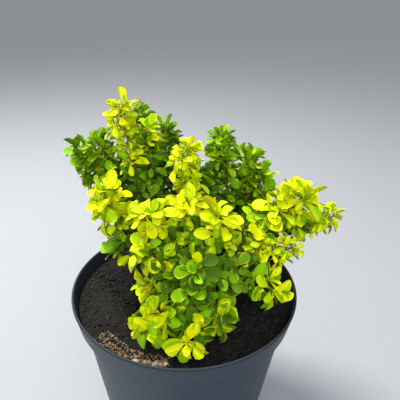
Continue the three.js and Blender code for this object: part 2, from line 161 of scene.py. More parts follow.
# Bark: how close its ridges stand round and along a limb, and its knuckles and lobes as shares of the radius
BOUGH_RIDGES = (2.2, 5)
KNUCKLE_HEIGHT = 0.12
KNUCKLES = 22
STEM_RIDGES = 3
STEM_RIDGE_LENGTH = 9 * MM
LOBE_COUNT = 3
LOBE_DEPTH = 0.14

# Finer growth that the solids leave out
FINER_NODES = 2.6
FIRST_NODE = 0.8
SIDE_TWIG_EVERY = 3
SIDE_TWIG_REACH = (0.38, 0.62)
FASCICLE_REACH = (0.06, 0.22)
FASCICLE_RISE = 0.6
FASCICLE_LEAVES = 6
FOOT_TWIGS = 6
FOOT_TWIG_REACH = (0.4, 0.6)
FOOT_TWIG_FALL = 0.45
ROSETTE_LEAVES = 8
MIDWAY = 0.45
MIDWAY_LEAVES = 4
TWIG_RADII = (0.65 * MM, 0.5 * MM)
TWIG_LIFT = 0.12
SPINE_RADIUS = 0.28 * MM
SPINE_LENGTHS = (2.7 * MM, 4.95 * MM)
SPINE_FALL = 0.5

# Degrees that a rosette's outermost and innermost leaves spread, and how far leaves differ by chance
ROSETTE_SPREAD = (84, 18)
SPREAD_WANDER = 0.6
TURN_WANDER = 0.7
TWIST_WANDER = 0.5
LENGTH_SHARES = (0.86, 1.12)
WIDTH_SHARES = (0.88, 1.12)
CUP_SHARES = (0.3, 1.6)
DROOPS = (-0.04, 0.3)

# How much leaves face away from the crown's middle, and along their twig
OUTWARD = 0.6
TWIGWARD = 0.9

# Tries to fit a leaf: each one shortens it and turns it to the tip, and up where it meets the compost
LEAF_TRIES = 7
SHORTENED = 0.92
TURNED_TIPWARD = 0.12
TURNED_UP = 0.2
SHORTEST_LEAF = 0.36
SOIL_GAP = 1.5 * MM

# A leaf whose side would be shorter than this grows straight the way it faces, and is left out
EDGE_ON = 0.1

# What tells how open a leaf stands, and how much each counts. The tint follows it: partly the real gold of
# sunny and green of shaded barberry leaves, partly painted light and shade
SKY_WEIGHT = 0.6
OUTER_WEIGHT = 0.12
TIP_WEIGHT = 0.5
LIT_WEIGHT = 0.14
INWARD_WEIGHT = 0.08
CHANCE_WEIGHT = 0.12
LIGHT_SIDE = Vector((-0.4, -0.1, 0.9)).normalized()
# Lines towards the sky that tell how open a leaf stands: their middle, number, and points along each
SKY_LEAN = Vector((0, -0.4, 1)).normalized()
SKY_DIRECTIONS = 14
SKY_STEPS = tuple(step * MM for step in (9, 16, 25, 36, 50, 66, 84))
SKY_SOFTNESS = 6 * MM

# Leaf lengths of the youngest and the oldest masses, and of a usual rosette's largest leaf
SMALL_LEAF = 12 * MM
LARGE_LEAF = 19 * MM
USUAL_LONGEST = 22 * MM

# A leaf's shape, as shares of its length: depth of the midrib's groove and keel, and lift of its blade
RIB_DEPTH = 0.02
KEEL_DEPTH = 0.035
BLADE_LIFT = 0.04
KEEL_AT_ENDS = 0.4
DROOP_SHORTENS = 0.25

# The photograph's view, and the lights round a point in the crown
CAMERA_PLACE = (0.013, -0.354, 0.454)
CAMERA_TILT = math.radians(26.9)
CAMERA_ROLL = math.radians(1.46)
CAMERA_ANGLE = math.radians(50)
AIM = Vector((0, 0, 0.22))
KEY_PLACE = AIM + Vector((-0.6, 0.42, 1.25))
FILL_PLACE = AIM + Vector((0.3, -1.5, 1.1))
FLOOR_HALF = 40


def tone(code):
    """Turns a written colour such as "e6e21a" into linear red, green and blue."""
    parts = [int(code[at:at + 2], 16) / 255 for at in (0, 2, 4)]
    return tuple(part / 12.92 if part <= 0.04045 else ((part + 0.055) / 1.055) ** 2.4 for part in parts)


def shade(dark, pale, share):
    """The colour at a share of the way from a dark one to a pale one."""
    return tuple(low + (high - low) * share for low, high in zip(dark, pale))


# Each tint of leaf, and its colours in the order of its parts
LEAF_PARTS = ("blade", "margin", "underside")
LEAF_TONES = {
    "gold": ("d8e000", "f2ea00", "b4c602"),
    "lemon": ("b0d200", "e4e400", "98bc02"),
    "lime": ("86bc00", "c8d802", "7ca602"),
    "fresh": ("689804", "a2bc04", "668c06"),
    "deep": ("426602", "6c8c04", "4a6a08"),
    "blush": ("dcd802", "e8cc08", "b8c004"),
}

# Chances of each tint on a mass of each kind: on its most open leaves, those between, and its shaded ones
# Paler tints on open leaves and darker greens on shaded ones: partly the real colour of a golden barberry in
# sun and shade, partly painted light and shade
TINT_CHANCES = {
    "gold": (
        {"gold": 0.79, "lemon": 0.19, "lime": 0.01, "blush": 0.01},
        {"gold": 0.06, "lemon": 0.32, "lime": 0.44, "fresh": 0.18},
        {"lime": 0.12, "fresh": 0.38, "deep": 0.5},
    ),
    "lime": (
        {"gold": 0.72, "lemon": 0.22, "lime": 0.06},
        {"lemon": 0.15, "lime": 0.5, "fresh": 0.35},
        {"lime": 0.1, "fresh": 0.5, "deep": 0.4},
    ),
    "green": (
        {"lemon": 0.16, "lime": 0.42, "fresh": 0.36, "deep": 0.06},
        {"lime": 0.2, "fresh": 0.5, "deep": 0.3},
        {"fresh": 0.25, "deep": 0.75},
    ),
}
OPEN_FROM = 0.69
SHADED_BELOW = 0.58

# How much more open than its place tells a mass stands, at foot and tip. Below nought it is shaded. A shift
# gives a whole mass paler or darker tints, partly as painted light and shade
OPENNESS_SHIFTS = {
    "left_top": (-0.12, 0.54),
    "left_inner": (-0.44, -0.14),
    "left_low": (0.18, 0.28),
    "far_left": (0.28, 0.36),
    "left_shoulder": (0.08, 0.08),
    "back_left": (-0.1, -0.1),
    "centre_top": (0.55, 0.55),
    "heart": (-0.46, -0.46),
    "front_left": (0.06, 0.16),
    "front_side": (0.06, 0.06),
    "front_right": (0.04, 0.12),
    "front_core": (-0.42, -0.42),
    "low_left": (-0.1, -0.1),
    "low_mid": (-0.2, -0.2),
    "low_right": (-0.2, -0.2),
    "right_arm": (0.08, 0.2),
    "right_tip": (0.16, 0.16),
    "right_low": (0.7, 0.7),
    "right_foot": (-0.24, -0.24),
    "right_back": (0.12, 0.12),
    "right_back_mid": (0.26, 0.26),
}


class Mass:
    """A foliage mass: its capsule from foot to tip, its leaves, and the limb that its bough springs from."""

    def __init__(self, name, foot, tip, radii, leaf, tint, parent, at, seed):
        self.name = name
        self.foot = Vector(foot) * MM
        self.tip = Vector(tip) * MM
        self.radii = (radii[0] * MM, radii[1] * MM)
        self.leaf = leaf * MM
        self.tint = tint
        self.parent = parent
        self.at = at
        self.seed = seed
        self.axis = (self.tip - self.foot).normalized()
        self.breadth = (self.leaf - SMALL_LEAF) / (LARGE_LEAF - SMALL_LEAF)


MASSES = [
    Mass("left_top", (-44, 24, 268), (-63, 32, 350), (22, 17), 14, "gold", "stem", 0.66, 401),
    Mass("left_inner", (-35, 32, 258), (-39, 36, 330), (18, 18), 15, "lime", "left_top", 0.6, 402),
    Mass("left_low", (-57, -4, 229), (-71, -6, 284), (25, 22), 17, "gold", "left_top", 0.4, 403),
    Mass("far_left", (-76, 48, 252), (-112, 58, 299), (17, 18), 16, "green", "stem", 0.45, 404),
    Mass("left_shoulder", (-64, 36, 252), (-87, 43, 312), (17, 17), 16, "green", "far_left", 0.62, 405),
    Mass("back_left", (-26, 62, 254), (-24, 76, 317), (19, 20), 14, "green", "stem", 0.9, 406),
    Mass("back_tip", (-38, 56, 277), (-47, 60, 340), (15, 13), 12, "green", "back_left", 0.7, 407),
    Mass("centre_top", (1, 6, 244), (0, 14, 320), (21, 19), 14, "gold", "stem", 0.97, 408),
    Mass("heart", (14, 26, 228), (12, 30, 286), (21, 21), 16, "green", "centre_top", 0.3, 409),
    Mass("front_mid", (3, -12, 234), (-1, -20, 279), (20, 20), 17, "gold", "centre_top", 0.5, 410),
    Mass("front_left", (-8, -22, 231), (-29, -34, 278), (23, 21), 17, "gold", "stem", 0.7, 411),
    Mass("front_side", (-13, -36, 225), (-33, -46, 247), (20, 20), 17, "gold", "front_left", 0.8, 412),
    Mass("low_side", (-13, -43, 219), (-30, -54, 217), (18, 17), 17, "gold", "front_left", 0.58, 413),
    Mass("low_left", (-6, -48, 219), (-26, -74, 184), (22, 22), 19, "gold", "front_left", 0.36, 414),
    Mass("front_right", (23, -22, 232), (29, -32, 275), (22, 21), 17, "gold", "stem", 0.7, 415),
    Mass("front_core", (13, -34, 220), (11, -54, 238), (21, 21), 18, "lime", "front_right", 0.5, 416),
    Mass("low_mid", (10, -54, 211), (4, -80, 179), (22, 22), 19, "gold", "front_right", 0.36, 417),
    Mass("low_right", (27, -48, 218), (31, -68, 190), (21, 20), 18, "lime", "front_right", 0.62, 418),
    Mass("right_arm", (48, -4, 241), (108, -5, 281), (22, 22), 18, "gold", "stem", 0.55, 419),
    Mass("right_tip", (107, 2, 250), (138, 4, 258), (16, 15), 14, "gold", "right_arm", 0.75, 720),
    Mass("right_low", (52, -22, 233), (99, -22, 239), (21, 19), 13, "lime", "right_arm", 0.6, 421),
    Mass("right_foot", (48, -37, 221), (79, -45, 210), (21, 20), 17, "lime", "right_arm", 0.35, 731),
    Mass("right_back", (44, 46, 242), (32, 58, 314), (20, 16), 16, "green", "stem", 0.75, 423),
    Mass("right_back_mid", (60, 52, 232), (62, 66, 293), (19, 18), 17, "green", "right_back", 0.6, 424),
    Mass("right_back_low", (71, 38, 229), (76, 56, 276), (20, 18), 17, "green", "right_back", 0.4, 425),
    Mass("back_right", (38, 46, 206), (68, 86, 236), (22, 22), 17, "green", "stem", 0.45, 426),
    Mass("back_mid", (6, 44, 214), (4, 84, 262), (24, 24), 18, "green", "stem", 0.5, 427),
    Mass("back_far_left", (-32, 46, 212), (-62, 82, 238), (22, 22), 17, "green", "stem", 0.22, 428),
]


def seeded_numbers(seed):
    """Gives the same run of numbers from 0 to 1 as the solids' rule does for a seed."""
    def product(first, second):
        return (first * second) & 0xFFFFFFFF

    state = seed
    while True:
        state = (state + 0x6D2B79F5) & 0xFFFFFFFF
        mixed = product(state ^ (state >> 15), state | 1)
        mixed ^= (mixed + product(mixed ^ (mixed >> 7), mixed | 61)) & 0xFFFFFFFF
        yield ((mixed ^ (mixed >> 14)) & 0xFFFFFFFF) / 4294967296


def blend(low, high, share):
    return low + (high - low) * share


def smoothstep(value, low, high):
    share = min(max((value - low) / (high - low), 0), 1)
    return share * share * (3 - 2 * share)


def linked(name, mesh):
    """A new object in the scene with this mesh."""
    made = bpy.data.objects.new(name, mesh)
    bpy.context.scene.collection.objects.link(made)
    return made


def smoothed(name, corners, faces, materials, smooth_angle):
    """A mesh of these corners and faces that is smooth but for edges sharper than an angle."""
    mesh = bpy.data.meshes.new(name)
    mesh.from_pydata(corners, [], faces)
    for material in materials:
        mesh.materials.append(material)
    mesh.polygons.foreach_set("use_smooth", [True] * len(faces))
    mesh.set_sharp_from_angle(angle=smooth_angle)
    return mesh


def solid(name, corners, faces, materials, smooth_angle):
    """A new object of one mesh."""
    return linked(name, smoothed(name, corners, faces, materials, smooth_angle))


def applied(context, made, modifier):
    """Puts what a modifier makes into its object's own mesh."""
    finished = bpy.data.meshes.new_from_object(made.evaluated_get(context.evaluated_depsgraph_get()))
    made.modifiers.remove(modifier)
    made.data = finished


class Shell:
    """Corners and faces gathered for one mesh."""

    def __init__(self):
        self.corners = []
        self.faces = []

    def add(self, corners, faces):
        first = len(self.corners)
        self.corners.extend(tuple(corner) for corner in corners)
        self.faces.extend(tuple(first + corner for corner in face) for face in faces)

    def piece(self, name, materials, smooth_angle=math.radians(50)):
        return solid(name, self.corners, self.faces, materials, smooth_angle)


def added(tree, kind, settings=None, sockets=None):
    """A new node of a tree with its settings, and its inputs linked or set."""
    made = tree.nodes.new(kind)
    for key, value in (settings or {}).items():
        setattr(made, key, value)
    for key, value in (sockets or {}).items():
        if isinstance(value, bpy.types.NodeSocket):
            tree.links.new(value, made.inputs[key])
        else:
            made.inputs[key].default_value = value
    return made


def maths(operation, swapped=False):
    """A method that puts a flow, and the number or flow beside it, into a Math node."""
    def method(self, other=0.0):
        first, second = (other, self) if swapped else (self, other)
        return self.finish.node("ShaderNodeMath", {"operation": operation}, {0: first, 1: second})

    return method


class Flow:
    """A socket that works in sums: an expression on it adds the Math nodes that it needs."""

    def __init__(self, finish, socket):
        self.finish = finish
        self.socket = socket

    __add__ = __radd__ = maths("ADD")
    __sub__ = maths("SUBTRACT")
    __rsub__ = maths("SUBTRACT", swapped=True)
    __mul__ = __rmul__ = maths("MULTIPLY")
    __gt__ = maths("GREATER_THAN")
    __pow__ = maths("POWER")
    __abs__ = maths("ABSOLUTE")
    wave = maths("SINE")


class Finish:
    """A material made of nodes that read the piece's own coordinates."""

    def __init__(self, name):
        self.material = bpy.data.materials.new(name)
        self.material.use_nodes = True
        self.tree = self.material.node_tree
        self.tree.nodes.clear()

    def node(self, kind, settings=None, sockets=None, output=0):
        """Adds a node, whose inputs may be flows, and gives one of its outputs."""
        sockets = {key: getattr(value, "socket", value) for key, value in (sockets or {}).items()}
        made = added(self.tree, kind, settings, sockets)
        return Flow(self, made.outputs[output]) if made.outputs else None

    def place(self, stretch=(1, 1, 1)):
        spot = self.node("ShaderNodeTexCoord", output="Object")
        return self.node("ShaderNodeMapping", sockets={"Vector": spot, "Scale": stretch})

    def cloud(self, scale, detail=3.0, stretch=(1, 1, 1)):
        """Soft noise with features about 1 / scale metres wide."""
        sockets = {"Vector": self.place(stretch), "Scale": scale, "Detail": detail, "Roughness": 0.55}
        return self.node("ShaderNodeTexNoise", sockets=sockets)

    def parted(self, spot):
        """The three numbers of a place, as flows."""
        node = self.node("ShaderNodeSeparateXYZ", sockets={0: spot}).socket.node
        return tuple(Flow(self, socket) for socket in node.outputs)

    def ramp(self, factor, *stops):
        """Colours at rising places along a factor."""
        flow = self.node("ShaderNodeValToRGB", sockets={0: factor})
        elements = flow.socket.node.color_ramp.elements
        elements[0].position = stops[0][0]
        elements[-1].position = stops[-1][0]
        for place, _ in stops[1:-1]:
            elements.new(place)
        for element, (_, colour) in zip(elements, stops):
            element.color = (*colour, 1.0)
        return flow

    def mixed(self, factor, first, second):
        def ready(colour):
            return colour if isinstance(colour, Flow) else (*colour, 1.0)

        settings = {"data_type": "RGBA", "clamp_factor": True}
        return self.node("ShaderNodeMix", settings, {0: factor, 6: ready(first), 7: ready(second)}, output=2)

    def surface(self, colour, roughness, height=None, depth=0.1 * MM, specular=0.4):
        sockets = {"Base Color": colour if isinstance(colour, Flow) else (*colour, 1.0)}
        sockets["Roughness"] = roughness
        sockets["Specular IOR Level"] = specular
        if height is not None:
            sockets["Normal"] = self.node("ShaderNodeBump", sockets={"Height": height, "Distance": depth})
        shader = self.node("ShaderNodeBsdfPrincipled", sockets=sockets)
        self.node("ShaderNodeOutputMaterial", sockets={"Surface": shader})
        return self.material


def pot_finish(colour, dust):
    """Moulded matt plastic: soft mottling, fine scuffs, dried splashes, a rougher lip, and painted shade that
    darkens the lip and the inside wall.
    """
    finish = Finish("pot_plastic")
    place = finish.place()
    across, deep, height = finish.parted(place)
    radius = (across * across + deep * deep) ** 0.5
    mottling = finish.cloud(24, 4)
    scuffs = finish.cloud(90, 5, (1, 1, 0.12))
    splashes = finish.cloud(420, 2) > 0.7
    lowest, highest = SPLASH_HEIGHTS
    sockets = {"Value": height, "From Min": lowest, "From Max": highest}
    near_rim = finish.node("ShaderNodeMapRange", sockets=sockets)
    lip = height > LIP_FOOT
    inner_wall = (height - INNER_FOOT) * INNER_FLARE + INNER_FOOT_RADIUS
    inside = (inner_wall + INNER_MARGIN > radius) * (height > INNER_FOOT)
    bright = tuple(min(part * 1.35, 1) for part in colour)
    # Painted shade: the plastic darkened to about a third of its colour
    painted_shade = shade((0, 0, 0), colour, 0.35)
    mottled = finish.mixed(mottling * 0.8 + scuffs * 0.2 - 0.2, colour, bright)
    dusty = finish.mixed(splashes * (near_rim * 0.25 + 0.06), mottled, dust)
    # Painted shade laid over the inside wall and over the lip
    shown = finish.mixed(inside * 0.7 + lip * 0.75, dusty, painted_shade)
    roughness = 0.4 + mottling * 0.16 + splashes * 0.2 + lip * 0.35
    return finish.surface(shown, roughness, scuffs * 0.6 + finish.cloud(1500, 2) * 0.4, 0.12 * MM)


def compost_finish(dark, pale):
    """Damp peaty compost: dark crumbs with paler dry ones."""
    finish = Finish("compost")
    crumbs = finish.cloud(420, 6)
    patches = finish.cloud(38, 3)
    fibres = finish.cloud(900, 4, (1, 0.35, 1))
    middle = shade(dark, pale, 0.3)
    colour = finish.ramp(crumbs * 0.6 + patches * 0.4, (0.36, dark), (0.55, middle), (0.72, pale))
    return finish.surface(colour, 0.95, crumbs * 0.7 + fibres * 0.3, 1.2 * MM, 0.2)


def stone_finish(name, colour):
    finish = Finish(name)
    grain = finish.cloud(900, 3)
    return finish.surface(colour, 0.75 + grain * 0.2, grain, 0.3 * MM, 0.3)


def bark_finish(dark, pale):
    """Woody bark with long fissures, lichen-pale ridges and darker pits."""
    finish = Finish("bark")
    fissures = finish.cloud(700, 5, (1, 1, 0.18))
    patches = finish.cloud(160, 3)
    middle = shade(dark, pale, 0.5)
    colour = finish.ramp(fissures * 0.65 + patches * 0.35, (0.34, dark), (0.52, middle), (0.7, pale))
    return finish.surface(colour, 0.82, fissures, 0.5 * MM, 0.3)


def twig_finish(colour):
    finish = Finish("young_twig")
    grain = finish.cloud(800, 3, (1, 1, 0.3))
    return finish.surface(colour, 0.5 + grain * 0.25, grain, 0.15 * MM)


def leaf_finish(name, colour, roughness, vein_depth):
    """A leaf's skin: one plain colour, with side veins and a fine pebbled grain in its roughness and bump."""
    finish = Finish(name)
    spot = finish.node("ShaderNodeUVMap", {"uv_map": "leaf"})
    across, along, _ = finish.parted(spot)
    veins = ((along - abs(across) * 0.35) * 42).wave()
    midrib = (1 - abs(across)) ** 10
    grain = finish.cloud(1400, 2)
    height = veins * 0.3 - midrib * 0.8 + grain * 0.5
    return finish.surface(colour, roughness + grain * 0.2, height, vein_depth, 0.15)


def soil_relief(x, y, height):
    """Height of the uneven compost over its mean level, as in the solids."""
    from_stem = math.hypot(x - STEM_PLACE.x, y - STEM_PLACE.y)
    near_stem = smoothstep(from_stem, 1.3 * STEM_FLARE_RADIUS, 3 * STEM_FLARE_RADIUS)
    near_wall = smoothstep(math.hypot(x, y), SOIL_FLAT_RADIUS, BAND_FOOT_RADIUS - WALL)
    waves = math.sin(x / (17 * MM) + 1.3) * math.cos(y / (13 * MM)) + 0.5 * math.sin((x + y) / (9 * MM))
    return height * near_stem * (1 - near_wall) * waves


def crumbled(x, y):
    """Height of the crumbs on the compost's face."""
    spot = Vector((x, y, 0)) / MM
    lumps = sum(noise.noise(spot / width) * weight for width, weight in CRUMB_LAYERS)
    return lumps * CRUMB_HEIGHT * (1 - smoothstep(math.hypot(x, y), *CRUMB_FADE))


def around(side, level, angle):
    """The direction at an angle between two that cross."""
    return side * math.cos(angle) + level * math.sin(angle)


def on_ring(radius, angle):
    return radius * math.cos(angle), radius * math.sin(angle)


def turned(profile, sides):
    """A profile of (radius, height) points turned round the Z axis: corners and faces, poles closed."""
    corners = []
    rings = []
    for radius, height in profile:
        if radius == 0:
            rings.append([len(corners)] * sides)
            corners.append((0, 0, height))
            continue
        rings.append(list(range(len(corners), len(corners) + sides)))
        for side in range(sides):
            corners.append((*on_ring(radius, math.tau * side / sides), height))
    faces = []
    for low, high in zip(rings, rings[1:]):
        for side in range(sides):
            after = (side + 1) % sides
            face = [low[side], low[after], high[after], high[side]]
            faces.append(tuple(dict.fromkeys(face)))
    return corners, faces


def rounded(profile, radius, steps=4):
    """A profile with its inner corners rounded off by a radius, where its sides are long enough."""
    points = [Vector(point) for point in profile]
    eased = [points[0]]
    for before, corner, after in zip(points, points[1:], points[2:]):
        reach = min(radius, 0.45 * (before - corner).length, 0.45 * (after - corner).length)
        start = corner + (before - corner).normalized() * reach
        end = corner + (after - corner).normalized() * reach
        for step in range(steps + 1):
            share = step / steps
            eased.append(start.lerp(corner, share).lerp(corner.lerp(end, share), share))
    return [tuple(point) for point in eased + [points[-1]]]


class Route:
    """A smooth curve that is read by share of its length."""

    def __init__(self, *points, steps=64):
        places = []
        for step in range(steps + 1):
            share = step / steps
            ring = [Vector(point) for point in points]
            while len(ring) > 1:
                ring = [first.lerp(second, share) for first, second in zip(ring, ring[1:])]
            places.append(ring[0])
        self.places = np.array(places)
        lengths = np.linalg.norm(np.diff(self.places, axis=0), axis=1)
        self.shares = np.concatenate([[0], np.cumsum(lengths)]) / lengths.sum()

    def at(self, share):
        return Vector([np.interp(share, self.shares, self.places[:, side]) for side in range(3)])

    def heading(self, share):
        ahead = self.at(min(share + 0.01, 1))
        return (ahead - self.at(max(share - 0.01, 0))).normalized()


def crossing(axis):
    """Two directions across an axis."""
    guide = Vector((0, 0, 1)) if abs(axis.z) < 0.95 else Vector((1, 0, 0))
    side = guide.cross(axis).normalized()
    return side, axis.cross(side)


def tube(route, radius_at, sides, steps, ridge=None):
    """Corners and faces of a closed limb along a route. A ridge function gives the bark's relief."""
    corners = []
    side, _ = crossing(route.heading(0))
    for step in range(steps + 1):
        share = step / steps
        axis = route.heading(share)
        side = (side - axis * side.dot(axis)).normalized()
        level = axis.cross(side)
        middle = route.at(share)
        for corner in range(sides):
            angle = math.tau * corner / sides
            radius = radius_at(share) * (1 + (ridge(angle, share) if ridge else 0))
            corners.append(middle + around(side, level, angle) * radius)
    faces = [tuple(reversed(range(sides)))]
    for step in range(steps):
        for corner in range(sides):
            here = step * sides + corner
            beside = step * sides + (corner + 1) % sides
            faces.append((here, beside, beside + sides, here + sides))
    faces.append(tuple(steps * sides + corner for corner in range(sides)))
    return corners, faces


def stem_middle(height, level):
    return STEM_PLACE + Vector((STEM_LEAN * height, -STEM_LEAN * height, level + CLEARANCE + height))


def bough_routes(level):
    """The route of every bough, from its start to its mass's foot, as in the solids."""
    routes = {}
    for mass in MASSES:
        springs = mass.parent == "stem"
        start = stem_middle(mass.at * STEM_HEIGHT, level) if springs else routes[mass.parent].at(mass.at)
        if springs:
            toward = (mass.foot - start) * Vector((1, 1, 0))
            start += toward.normalized() * BOUGH_START
        span = (mass.foot - start).length
        outward = (mass.foot - start).normalized()
        if not springs:
            outward = (outward + routes[mass.parent].heading(mass.at) * FORK_FOLLOWS).normalized()
        leaving = start + outward * span / 3
        arriving = mass.foot - mass.axis * span / 3
        routes[mass.name] = Route(start, leaving, arriving, mass.foot)
    return routes


def sky_rays():
    """Points on lines from a leaf towards the sky, leaning to where the light comes from."""
    side, level = crossing(SKY_LEAN)
    rays = []
    for at in range(SKY_DIRECTIONS):
        spread = math.asin(math.sqrt((at + 0.5) / SKY_DIRECTIONS))
        direction = around(SKY_LEAN, around(side, level, at * GOLDEN_ANGLE), spread)
        rays.append([direction * step for step in SKY_STEPS])
    return np.array(rays)


class Spaces:
    """The capsules of all the masses, for testing whether points keep to their own."""

    def __init__(self):
        self.feet = np.array([mass.foot for mass in MASSES])
        self.spans = np.array([mass.tip - mass.foot for mass in MASSES])
        self.squares = (self.spans ** 2).sum(axis=1)
        self.radii = np.array([mass.radii for mass in MASSES])

    def outside_by(self, points):
        """How far each point lies outside each capsule, less than nought inside it."""
        away = points[:, None, :] - self.feet[None]
        share = np.clip((away * self.spans).sum(axis=2) / self.squares, 0, 1)
        nearest = away - self.spans * share[..., None]
        return np.linalg.norm(nearest, axis=2) - blend(self.radii[:, 0], self.radii[:, 1], share)

    def holds(self, at, points, slack):
        """True where all the points are in a mass's own capsule."""
        return bool((self.outside_by(points)[:, at] <= slack).all())

    def sky_over(self, point):
        """The share of the sky's directions in which no foliage stands over a point."""
        outside = self.outside_by((point + SKY_RAYS).reshape(-1, 3)).min(axis=1)
        clear = np.clip(outside.reshape(SKY_RAYS.shape[:2]) / SKY_SOFTNESS + 1, 0, 1)
        return float(clear.min(axis=1).mean())


SKY_RAYS = sky_rays()

# Stations along a leaf: share of its length, and half width there as a share of its widest
LEAF_STATIONS = ((0, 0.08), (0.2, 0.17), (0.4, 0.55), (0.58, 0.88), (0.76, 1.0), (0.92, 0.72), (1.0, 0.26))
# Places across a leaf, as shares of its half width. Its margin is the outer strip at each side
LEAF_COLUMNS = (-1, -0.76, 0, 0.76, 1)
# First of a leaf's points beyond its stalk, and the keel's point under its broadest part
BLADE_FROM = 2 * len(LEAF_COLUMNS)
BROADEST = -3


def leaf_pattern():
    """The leaf's upper and lower points, faces with their parts, and flat coordinates, in its own frame."""
    rows = len(LEAF_STATIONS)
    columns = len(LEAF_COLUMNS)
    blade, margin, underside = range(len(LEAF_PARTS))
    upper = [(along, across, wide) for along, wide in LEAF_STATIONS for across in LEAF_COLUMNS]
    lower = [(along, 0, wide) for along, wide in LEAF_STATIONS]
    faces = []
    parts = []
    for row in range(rows - 1):
        for column in range(columns - 1):
            first = row * columns + column
            faces.append((first, first + columns, first + columns + 1, first + 1)[::-1])
            parts.append(margin if column in (0, columns - 2) else blade)
        left = row * columns
        right = left + columns - 1
        keel = rows * columns + row
        faces.append((left, keel, keel + 1, left + columns)[::-1])
        faces.append((keel, right, right + columns, keel + 1)[::-1])
        parts.extend((underside, underside))
    faces.append(tuple(range(columns))[::-1] + (rows * columns,))
    faces.append(tuple(range((rows - 1) * columns, rows * columns)) + (rows * columns + rows - 1,))
    parts.extend((underside, underside))
    return np.array(upper + lower, dtype=float), faces, parts


class Leaves:
    """Leaves of one kind of mass, gathered for one mesh."""

    pattern, faces, parts = leaf_pattern()
    upper_count = len(LEAF_STATIONS) * len(LEAF_COLUMNS)

    def __init__(self):
        self.points = []
        self.tints = []

    def points_of(self, root, direction, facing, length, width, cup, droop, twist):
        """Places of a leaf's points, from where it springs, which way it grows and faces, and its shape."""
        across = direction.cross(facing).normalized()
        up = across.cross(direction)
        turned_across = around(across, up, twist)
        along, side, wide = self.pattern.T
        half = length * width / 2
        bulge = np.sin(np.pi * along)
        height = length * (cup * (side * wide) ** 2 - droop * along ** 2 + BLADE_LIFT * along)
        height += np.where(side == 0, -RIB_DEPTH * length * bulge, 0)
        height[self.upper_count:] -= KEEL_DEPTH * length * blend(KEEL_AT_ENDS, 1, bulge[self.upper_count:])
        forward = length * along * (1 - DROOP_SHORTENS * droop * along)
        placed_along = np.array(root) + np.outer(forward, direction)
        return placed_along + np.outer(side * wide * half, turned_across) + np.outer(height, up)

    def add(self, points, tint):
        self.points.append(points)
        self.tints.append(tint)

    def piece(self, name, materials, tint_order):
        count = len(self.points)
        corners = np.concatenate(self.points)
        size = len(self.pattern)
        faces = [tuple(leaf * size + corner for corner in face)
                 for leaf in range(count) for face in self.faces]
        mesh = smoothed(name, corners.tolist(), faces, materials, math.radians(60))
        first_slots = [tint_order.index(tint) * len(LEAF_PARTS) for tint in self.tints]
        slots = [first + part for first in first_slots for part in self.parts]
        mesh.polygons.foreach_set("material_index", slots)
        flat = mesh.uv_layers.new(name="leaf")
        corner_of_loop = np.empty(len(mesh.loops), dtype=np.int32)
        mesh.loops.foreach_get("vertex_index", corner_of_loop)
        shares = self.pattern[corner_of_loop % size][:, [1, 0]]
        flat.data.foreach_set("uv", shares.ravel())
        return linked(name, mesh)


def chosen(chances, number):
    """The tint that a number from 0 to 1 falls on."""
    for tint, chance in chances.items():
        number -= chance
        if number <= 0:
            return tint
    return next(iter(chances))


